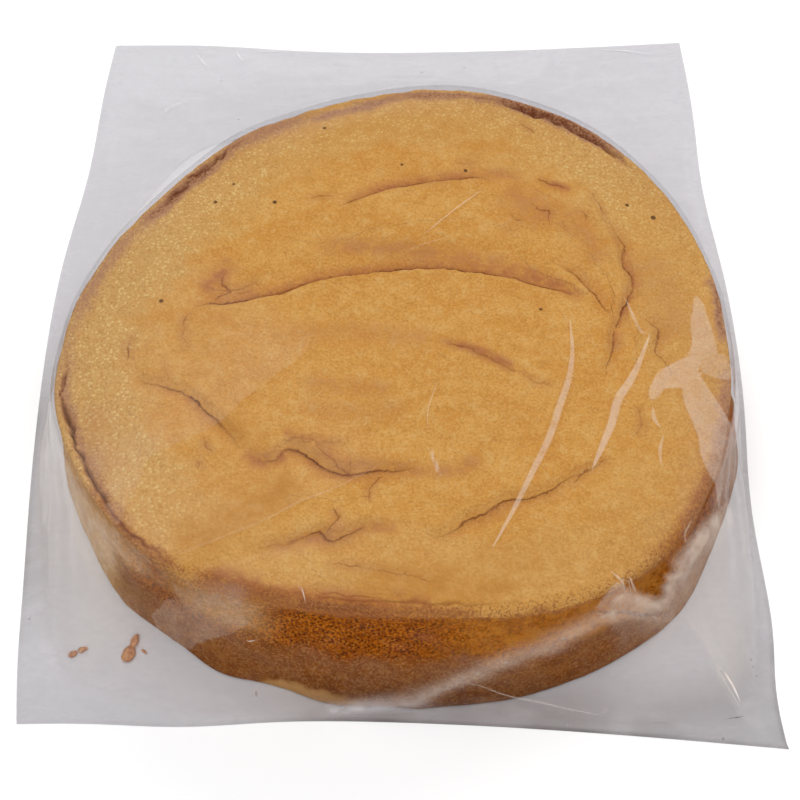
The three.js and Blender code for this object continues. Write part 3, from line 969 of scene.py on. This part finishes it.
def crumb_object(number, middle, long, wide, tall, turn, waist):
    """A rough oval crumb with a waist, lying on a flat side."""
    rows, around = CRUMB_ROWS, CRUMB_COLUMNS
    points = [[0, 0, 1.0]]
    for row in range(1, rows):
        lean = math.pi * row / rows
        points += [[math.sin(lean) * math.cos(2 * math.pi * k / around),
                    math.sin(lean) * math.sin(2 * math.pi * k / around),
                    math.cos(lean)] for k in range(around)]
    points.append([0, 0, -1.0])
    shape = np.array(points)[:, [2, 1, 0]]
    shape[:, 1:] *= (1 - waist * np.exp(-((shape[:, 0] - 0.15) / 0.3) ** 2))[:, None]
    shape[:, 1] *= 1 - 0.25 * shape[:, 0]
    shape = shape * [long, wide, tall]
    swell = 1 + 0.22 * rough(shape, 2.4, 300 + number) + 0.1 * rough(shape, 0.8, 310 + number)
    shape = shape * swell[:, None]
    shape[:, 2] = np.maximum(shape[:, 2], -0.55 * tall)
    turn = math.radians(turn)
    spin = np.array([[math.cos(turn), math.sin(turn), 0], [-math.sin(turn), math.cos(turn), 0],
                     [0, 0, 1]])
    shape = shape @ spin + [*middle, 0]
    shape[:, 2] += CRUMB_LIFT - shape[:, 2].min()
    faces = []
    for k in range(around):
        after = (k + 1) % around
        faces.append([0, 1 + after, 1 + k])
        last = 1 + (rows - 2) * around
        faces.append([last + k, last + after, len(points) - 1])
        for row in range(rows - 2):
            here = 1 + row * around
            faces.append([here + k, here + after, here + around + after, here + around + k])
    return mesh_object(f"crumb_{number}", shape, faces)


# ---- Materials ----

def colour(red, green, blue):
    """A linear colour from the 0 to 255 values that a picture shows."""
    parts = [(c / 12.92 if c <= 0.04045 else ((c + 0.055) / 1.055) ** 2.4)
             for c in (red / 255, green / 255, blue / 255)]
    return (*parts, 1.0)


class Shade:
    """A material's node tree, with short names for the nodes that it needs."""

    def __init__(self, name):
        self.material = bpy.data.materials.new(name)
        self.material.use_nodes = True
        self.tree = self.material.node_tree
        self.tree.nodes.clear()
        self.output = self.tree.nodes.new("ShaderNodeOutputMaterial")
        coordinates = self.tree.nodes.new("ShaderNodeTexCoord")
        self.place = self.vector("SCALE", coordinates.outputs["Object"], scale=1 / MM)

    def node(self, kind, inputs, **settings):
        node = self.tree.nodes.new(kind)
        for key, value in settings.items():
            setattr(node, key, value)
        for key, value in inputs.items():
            socket = node.inputs[key]
            if isinstance(value, bpy.types.NodeSocket):
                self.tree.links.new(value, socket)
            else:
                socket.default_value = value
        return node

    def vector(self, operation, a, b=None, scale=None):
        inputs = {0: a}
        if b is not None:
            inputs[1] = b
        if scale is not None:
            inputs["Scale"] = scale
        return self.node("ShaderNodeVectorMath", inputs, operation=operation).outputs[0]

    def math(self, operation, *values):
        return self.node("ShaderNodeMath", dict(enumerate(values)), operation=operation).outputs[0]

    def times(self, product, *values):
        """All the values multiplied."""
        for value in values:
            product = self.math("MULTIPLY", product, value)
        return product

    def band(self, value, low, high, to_low=0.0, to_high=1.0):
        """A smooth step from to_low at low to to_high at high."""
        node = self.node("ShaderNodeMapRange",
                         {"Value": value, "From Min": low, "From Max": high,
                          "To Min": to_low, "To Max": to_high},
                         interpolation_type="SMOOTHSTEP")
        return node.outputs[0]

    def noise(self, size, detail=2.0, roughness=0.5, place=None):
        """Noise from 0 to 1 with bumps of about the given size in millimetres."""
        node = self.node("ShaderNodeTexNoise",
                         {"Vector": place or self.place, "Scale": 1 / size, "Detail": detail,
                          "Roughness": roughness})
        return node.outputs[0]

    def noise_colour(self, size):
        """A smooth random direction that changes over about the given size."""
        node = self.node("ShaderNodeTexNoise", {"Vector": self.place, "Scale": 1 / size})
        return self.vector("SUBTRACT", node.outputs["Color"], (0.5, 0.5, 0.5))

    def cells(self, size):
        """Distance to the nearest of scattered points, in shares of the given size."""
        node = self.node("ShaderNodeTexVoronoi", {"Vector": self.place, "Scale": 1 / size})
        return node.outputs["Distance"]

    def attribute(self, name):
        return self.node("ShaderNodeAttribute", {}, attribute_name=name).outputs["Fac"]

    def mix(self, share, a, b):
        node = self.tree.nodes.new("ShaderNodeMix")
        node.data_type = "RGBA"
        for key, value in ((0, share), (6, a), (7, b)):
            if isinstance(value, bpy.types.NodeSocket):
                self.tree.links.new(value, node.inputs[key])
            else:
                node.inputs[key].default_value = value
        return node.outputs[2]

    def layered(self, base, *layers):
        """A colour with others laid over it in turn, each after the shares that it has."""
        for *shares, over in layers:
            base = self.mix(self.times(*shares), base, over)
        return base

    def bump(self, height, distance):
        """Relief of the given height in millimetres."""
        inputs = {"Height": height, "Distance": distance * MM, "Strength": 1.0}
        return self.node("ShaderNodeBump", inputs).outputs[0]

    def spot(self, soft):
        """1 on the spots of the mesh's spot attributes, with a soft border of the given width."""
        offset = self.node("ShaderNodeCombineXYZ", {0: self.attribute("spot_x"),
                                                    1: self.attribute("spot_y")}).outputs[0]
        away = self.node("ShaderNodeVectorMath", {0: offset}, operation="LENGTH").outputs["Value"]
        beyond = self.math("SUBTRACT", away, self.attribute("spot_size"))
        return self.band(beyond, 0, soft, 1, 0)

    def principled(self, **inputs):
        named = {key.replace("_", " "): value for key, value in inputs.items()}
        node = self.node("ShaderNodeBsdfPrincipled", named)
        self.tree.links.new(node.outputs[0], self.output.inputs["Surface"])


GOLD = colour(224, 166, 86)
GOLD_DEEP = colour(216, 152, 70)
GOLD_PALE = colour(232, 186, 116)
GOLD_BROWN = colour(201, 139, 65)
RING_PALE = colour(217, 173, 106)
RING_DEEP = colour(198, 144, 76)
SPECK = colour(238, 204, 136)
TROUGH = colour(176, 108, 68)
FOLD_BROWN = colour(150, 88, 50)
MAUVE = colour(184, 116, 74)
LINE_DARK = colour(116, 64, 34)
CREVICE_BROWN = colour(112, 50, 26)
FAIR_TAN = colour(230, 190, 138)
FAIR_GOLD = colour(218, 166, 98)
EDGE_RUST = colour(172, 108, 60)
EDGE_DEEP = colour(128, 74, 42)
EDGE_MAUVE = colour(178, 130, 102)
RING_BROWN = colour(188, 138, 88)
RICH_GOLD = colour(204, 142, 64)
WALL_GOLD = colour(198, 112, 8)
WALL_DARK = colour(140, 66, 4)
WALL_DEEP = colour(66, 28, 4)
WALL_LIGHT = colour(206, 134, 44)
WALL_MID = colour(160, 98, 42)
WALL_RED = colour(134, 76, 34)
WALL_MAUVE = colour(156, 104, 66)
WALL_PALE = colour(192, 140, 84)
FOOT_PALE = colour(214, 162, 100)
FRECKLE = colour(84, 54, 38)
WHITENING_WARM = colour(242, 226, 210)
WHITENING_COOL = colour(240, 236, 240)
FILM_TINT = (0.86, 0.857, 0.864, 1)
FILM_SHADE = (0.62, 0.604, 0.602, 1)
FILM_LIGHTENED = (0.97, 0.97, 0.975, 1)
CRUMB_PALE = colour(222, 164, 116)
CRUMB_BROWN = colour(188, 124, 82)
CRUMB_GOLD = colour(200, 150, 96)

# Dark freckles of the top: x, y and radius.
FRECKLES = [(103.5, 59, 0.8), (93, 65, 0.5), (26, 84, 0.5), (-54, 65, 0.6), (-79, 67, 0.5),
            (-72, 77, 0.3), (-97, 14, 0.6), (-34.5, 109.5, 0.5), (-1, 87, 0.3), (54, 9, 0.4)]


def crust_material():
    s = Shade("baked_crust")
    inset = s.attribute("inset")
    depth = s.attribute("fold_depth")
    crack_width = s.attribute("crack_width")
    front = s.attribute("front")
    fine = s.noise(1.0, 2, 0.65)
    mid = s.noise(5, 3, 0.6)
    drift = s.vector("ADD", s.place, s.vector("SCALE", s.noise_colour(50), scale=45))
    broad = s.noise(12, 3, 0.6, s.vector("MULTIPLY", drift, (0.5, 1, 1)))
    small = s.cells(1.7)
    pore = s.cells(1.5)
    ragged_by = s.math("MULTIPLY_ADD", mid, 2.4, s.math("MULTIPLY_ADD", fine, 1.2, -1.8))
    side = s.math("ADD", s.attribute("fold_side"), ragged_by)
    crack = s.math("ABSOLUTE", s.math("ADD", s.attribute("crack"), ragged_by))

    # Top: drawn-out clouds of gold, with fine grain.
    base = s.layered(
        GOLD,
        (s.band(broad, 0.36, 0.64, 0, 0.85), GOLD_DEEP),
        (s.band(mid, 0.5, 0.72, 0, 0.5), GOLD_PALE),
        (s.band(mid, 0.5, 0.3, 0, 0.35), GOLD_BROWN),
        (s.band(fine, 0.48, 0.7, 0, 0.5), GOLD_PALE),
        (s.band(fine, 0.5, 0.32, 0, 0.5), GOLD_BROWN))

    # Ring next to the rim: paler, with light and dark grains.
    ring = s.band(s.math("MULTIPLY_ADD", broad, 40, inset), 40, 64, 1, 0)
    ring = s.times(ring, s.attribute("dusty"))
    grains = s.times(s.band(fine, 0.52, 0.34, 0, 0.75), s.band(ring, 0, 1, 0.2, 1))
    dots = s.times(s.band(small, 0.16, 0.46, 1, 0), s.band(mid, 0.36, 0.56))
    pores = s.times(s.band(pore, 0.1, 0.3, 1, 0), s.band(mid, 0.54, 0.42))
    base = s.layered(
        base,
        (ring, 0.8, RING_PALE),
        (grains, RING_DEEP),
        (dots, s.band(ring, 0.1, 0.9, 0.1, 0.95), SPECK),
        (pores, s.band(ring, 0, 1, 0.3, 0.6), TROUGH))

    # Reddish marks, in part painted shade, and folds: a thin dark line with a reddish trough of
    # painted shade and a band of painted shade on one side, and a painted highlight on the other.
    mark = s.times(s.attribute("mark"), s.band(mid, 0.36, 0.58, 0.3, 1),
                   s.band(fine, 0.35, 0.6, 0.7, 1))
    trough_shade = s.times(s.band(side, 1, 7, 1, 0), s.band(side, -0.8, 0.4), s.band(depth, 0.5, 4))
    shade = s.times(s.band(side, 0.1, 2.2, 1, 0), s.band(side, -0.4, 0.1))
    fold_highlight = s.times(s.band(side, -3.4, -1.4), s.band(side, -1.2, -0.4, 1, 0))
    line = s.band(s.math("ABSOLUTE", s.math("ADD", side, -0.3)), 0.05, 0.5, 1, 0)
    line = s.times(line, s.band(depth, 0.5, 3, 0, 1), s.band(broad, 0.38, 0.58, 0.3, 1))
    thin = s.band(s.math("DIVIDE", crack, s.math("ADD", crack_width, 0.01)), 0.2, 1.1, 1, 0)
    thin = s.times(thin, s.band(crack_width, 0.08, 0.35))
    halo = s.times(s.band(crack, 0.5, 4, 1, 0), crack_width)
    base = s.layered(
        base,
        (mark, MAUVE),
        (s.band(mark, 0.8, 1.6, 0, 0.9), FOLD_BROWN),
        (trough_shade, s.band(mid, 0.3, 0.65, 0.25, 0.8), TROUGH),
        (shade, s.band(depth, 1, 4, 0, 0.65), FOLD_BROWN),
        (fold_highlight, s.band(depth, 1, 4, 0, 0.4), GOLD_PALE),
        (line, 0.8, LINE_DARK),
        (thin, s.band(broad, 0.4, 0.6, 0.25, 0.75), LINE_DARK),
        (halo, 0.6, TROUGH))

    # Deeper gold stretches, one of them painted shade on a slope, a few dark freckles, and browned
    # grains towards the rim.
    toasted = s.times(s.band(s.math("MULTIPLY_ADD", broad, 22, inset), 12, 32, 1, 0),
                      s.attribute("toast"), s.band(fine, 0.4, 0.6, 1, 0.35))
    rich = s.times(s.attribute("rich"), s.band(mid, 0.35, 0.6, 0.95, 0.55))
    base = s.layered(
        base,
        (rich, RICH_GOLD),
        (s.spot(0.6), 0.9, FRECKLE),
        (toasted, RING_BROWN))

    # Wall: bands from dark at the top to pale at the foot, a fair stretch, and the crease darkened
    # with painted shadow.
    lit = s.times(s.attribute("light"), s.band(mid, 0.4, 0.6, 0.75, 0.3))
    upper = s.layered(
        s.mix(s.band(fine, 0.44, 0.56), WALL_DARK, WALL_GOLD),
        (s.band(broad, 0.4, 0.6, 0, 0.5), WALL_DARK),
        (s.band(pore, 0.5, 0.2, 0, 0.85), WALL_DEEP),
        (s.band(fine, 0.58, 0.68, 0, 0.6), WALL_LIGHT),
        (lit, WALL_LIGHT))
    lower = s.layered(
        s.mix(s.band(mid, 0.38, 0.62), WALL_MID, WALL_RED),
        (s.band(broad, 0.42, 0.6, 0, 0.5), WALL_MAUVE),
        (s.band(fine, 0.5, 0.66, 0, 0.55), WALL_PALE),
        (s.band(fine, 0.48, 0.36, 0, 0.65), WALL_DARK))
    bright = s.mix(s.band(mid, 0.35, 0.6), FAIR_TAN, FAIR_GOLD)
    bright = s.mix(s.band(fine, 0.5, 0.34, 0, 0.5), bright, RING_BROWN)
    pale_foot = s.attribute("pale_foot")
    foot = s.math("ADD", s.math("MULTIPLY_ADD", mid, 7, inset), s.times(pale_foot, -12))
    foot = s.times(s.band(foot, -57, -53, 1, 0), s.math("MULTIPLY_ADD", pale_foot, 0.6, 0.35))
    low = s.band(s.math("MULTIPLY_ADD", broad, 14, inset), -24, -14, 1, 0)
    wall = s.layered(
        upper,
        (low, lower),
        (s.attribute("fair"), s.band(broad, 0.38, 0.62, 0.95, 0.7), bright),
        (foot, FOOT_PALE),
        (thin, s.band(inset, -2, -1, 0.8, 0), CREVICE_BROWN))

    # Rim: browned stretches, crumbly grains at the front, and the crevice behind the lip.
    brown = s.times(s.attribute("brown"), s.band(fine, 0.4, 0.6, 1, 0.6))
    crumbly = s.times(s.band(s.math("ABSOLUTE", inset), 1, 6, 1, 0), front)
    grain = s.times(s.band(fine, 0.52, 0.68, 0, 0.75), s.band(brown, 0.2, 0.7, 1, 0.15))
    base = s.layered(
        base,
        (s.band(s.math("MULTIPLY_ADD", fine, 5, inset), 0.6, 2.6, 1, 0), wall),
        (s.band(brown, 0, 0.5, 0, 0.85), s.mix(front, EDGE_MAUVE, EDGE_RUST)),
        (s.band(brown, 0.45, 0.95, 0, 0.9), EDGE_DEEP),
        (crumbly, s.band(fine, 0.5, 0.38, 0, 0.7), EDGE_RUST),
        (crumbly, s.band(pore, 0.35, 0.15, 0, 0.4), CREVICE_BROWN),
        (crumbly, grain, WALL_LIGHT),
        (s.attribute("crevice"), 0.9, CREVICE_BROWN))

    groove = s.times(s.band(s.math("ABSOLUTE", side), 0, 0.8, -0.5, 0), line)
    relief = s.math("ADD", s.math("MULTIPLY_ADD", small, 0.35, groove), s.times(fine, 0.6))
    relief = s.math("MULTIPLY_ADD", mid, 0.8, relief)
    s.principled(Base_Color=base, Roughness=s.band(mid, 0.3, 0.7, 0.78, 0.92),
                 Specular_IOR_Level=0.02, Normal=s.bump(relief, 1.0))
    return s.material


def film_material():
    s = Shade("clear_film")
    fine = s.noise(6, 2, 0.6)

    # Where the film is whitened: painted highlights along creases with a few scratches, crisp
    # patches of painted reflection and cloudy film, clouds, and the wrinkled skirt.
    highlight_scratch = s.math("DIVIDE", s.math("ABSOLUTE", s.attribute("highlight_scratch_side")),
                    s.attribute("highlight_scratch_half"))
    highlight_scratch = s.times(s.band(highlight_scratch, 0.6, 1.1, 0.26, 0), s.attribute("highlight_scratch_light"),
                     s.band(fine, 0.25, 0.6, 0.6, 1))
    reflection_haze = s.math("MULTIPLY_ADD", fine, 1.6, s.math("ADD", s.attribute("reflection_haze_side"), -0.8))
    reflection_haze = s.times(s.band(reflection_haze, -0.5, 0.4, 1, 0), s.attribute("reflection_haze_light"),
                    s.band(fine, 0.3, 0.65, 0.75, 1.1))
    cloud = s.times(s.attribute("whitening"), s.band(fine, 0.3, 0.7, 0.75, 1.15))
    wrinkles = s.noise(11, 2, 0.7, s.vector("MULTIPLY", s.place, (0.6, 1.3, 1)))
    skirt = s.attribute("skirt")
    creased = s.math("ADD", s.band(s.noise(24, 1, 0.6), 0.35, 0.7, 0, 0.07),
                     s.band(wrinkles, 0.46, 0.7, 0, 0.08))
    # The whitening holds painted highlights and painted reflections as well as the film's
    # cloudiness.
    whitening = s.math("MAXIMUM", s.math("MAXIMUM", highlight_scratch, reflection_haze), cloud)
    whitening = s.math("ADD", whitening, s.times(skirt, creased))
    speck = s.times(s.spot(0.6), 0.75)

    # What it lets through: a little less where shade is painted on the skirt, and nearly all on the
    # film that hangs behind the cake, which paints light over the shade there.
    lightened = s.attribute("lightened")
    painted_shade = s.times(s.attribute("painted_shade"), s.band(s.noise(30, 1, 0.6), 0.3, 0.65, 0.8, 1.1))
    tint = s.layered(FILM_TINT, (painted_shade, FILM_SHADE), (lightened, FILM_LIGHTENED))
    clear = s.node("ShaderNodeBsdfTransparent", {"Color": tint})
    whitening_colour = s.layered(WHITENING_WARM, (skirt, WHITENING_COOL), (speck, FRECKLE))
    pale = s.node("ShaderNodeBsdfDiffuse", {"Color": whitening_colour})
    whitened = s.node("ShaderNodeMixShader", {0: s.math("MAXIMUM", whitening, speck), 1: clear.outputs[0],
                                           2: pale.outputs[0]})
    mirror = s.node("ShaderNodeBsdfGlossy", {"Color": (1, 1, 1, 1), "Roughness": 0.12})
    facing = s.node("ShaderNodeLayerWeight", {"Blend": 0.5}).outputs["Facing"]
    share = s.times(s.math("POWER", facing, 5), s.band(lightened, 0, 1, 0.4, 0.05))
    share = s.math("ADD", share, 0.003)
    shine = s.node("ShaderNodeMixShader", {0: share, 1: whitened.outputs[0], 2: mirror.outputs[0]})
    s.tree.links.new(shine.outputs[0], s.output.inputs["Surface"])
    return s.material


def crumb_material():
    s = Shade("crumb")
    base = s.layered(
        CRUMB_PALE,
        (s.band(s.noise(1.6, 4, 0.6), 0.35, 0.65), CRUMB_BROWN),
        (s.band(s.cells(0.9), 0.1, 0.3, 0.5, 0), CRUMB_GOLD))
    s.principled(Base_Color=base, Roughness=s.band(s.noise(1, 2), 0.3, 0.7, 0.7, 0.9),
                 Normal=s.bump(s.noise(0.7, 4, 0.7), 0.3))
    return s.material


def floor_material():
    s = Shade("floor_paper")
    tone = s.mix(s.noise(60, 2), colour(254, 254, 254), colour(255, 255, 255))
    s.principled(Base_Color=tone, Roughness=0.9, Specular_IOR_Level=0.1)
    return s.material


# ---- Stage: floor, light and camera ----

VIEW_ELEVATION = 56.03
VIEW_DISTANCE = 659.3
VIEW_TARGET = np.array([-1.21, 4.94, 0.0])
VIEW_ROLL = 0.07
SENSOR = 36.0
FOCAL_PIXELS = 1547.5
IMAGE_PIXELS = 800
FLOOR_HALF = 3.0
WORLD_COLOUR = (0.9, 0.92, 0.95, 1)
WORLD_STRENGTH = 0.32

# Soft rectangular lights that look at the middle of the cake: name, place, size, power, tint.
LIGHTS = [
    ("top", (-0.1, -0.25, 1.5), (1.6, 1.6), 17, (1, 1, 1)),
    ("back", (-0.25, 1.1, 0.62), (0.9, 0.4), 5, (1, 1, 1)),
    ("front", (0.0, -1.3, 1.0), (1.6, 0.8), 6, (1, 1, 1)),
    ("side", (0.92, 0.72, 0.75), (0.45, 0.45), 4.5, (1, 0.98, 0.96)),
]


def add_floor():
    mesh = bpy.data.meshes.new("floor")
    corners = [(-1, -1), (1, -1), (1, 1), (-1, 1)]
    mesh.from_pydata([(x * FLOOR_HALF, y * FLOOR_HALF, 0) for x, y in corners], [], [(0, 1, 2, 3)])
    floor = bpy.data.objects.new("floor", mesh)
    bpy.context.scene.collection.objects.link(floor)
    floor.data.materials.append(floor_material())


def add_light(name, place, size, power, tint):
    data = bpy.data.lights.new(name, "AREA")
    data.shape = "RECTANGLE"
    data.size, data.size_y = size
    data.energy = power
    data.color = tint
    light = bpy.data.objects.new(name, data)
    light.location = place
    light.rotation_euler = (-Vector(place)).to_track_quat("-Z", "Y").to_euler()
    bpy.context.scene.collection.objects.link(light)


def add_camera():
    data = bpy.data.cameras.new("camera")
    data.sensor_width = SENSOR
    data.lens = FOCAL_PIXELS * SENSOR / IMAGE_PIXELS
    camera = bpy.data.objects.new("camera", data)
    elevation = math.radians(VIEW_ELEVATION)
    back = np.array([0, -math.cos(elevation), math.sin(elevation)])
    camera.location = ((VIEW_TARGET + CAKE_PLACE) + back * VIEW_DISTANCE) * MM
    camera.rotation_euler = (math.pi / 2 - elevation, math.radians(VIEW_ROLL), 0)
    bpy.context.scene.collection.objects.link(camera)
    bpy.context.scene.camera = camera


def add_world():
    world = bpy.data.worlds.new("studio")
    world.use_nodes = True
    world.node_tree.nodes["Background"].inputs["Color"].default_value = WORLD_COLOUR
    world.node_tree.nodes["Background"].inputs["Strength"].default_value = WORLD_STRENGTH
    bpy.context.scene.world = world


def add_stage():
    add_floor()
    add_world()
    for light in LIGHTS:
        add_light(*light)
    add_camera()
    bpy.context.scene.view_settings.view_transform = "Standard"


# ---- The object ----

cake = cake_object()
cake.data.materials.append(crust_material())
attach(cake, "root")
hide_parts("sponge_cake")

film = film_object()
film.data.materials.append(film_material())
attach(film, "root")
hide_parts("clear_bag")

crumb_look = crumb_material()
for crumb_number, crumb_sizes in enumerate(CRUMBS, 1):
    crumb = crumb_object(crumb_number, *crumb_sizes)
    crumb.data.materials.append(crumb_look)
    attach(crumb, "root")

add_stage()
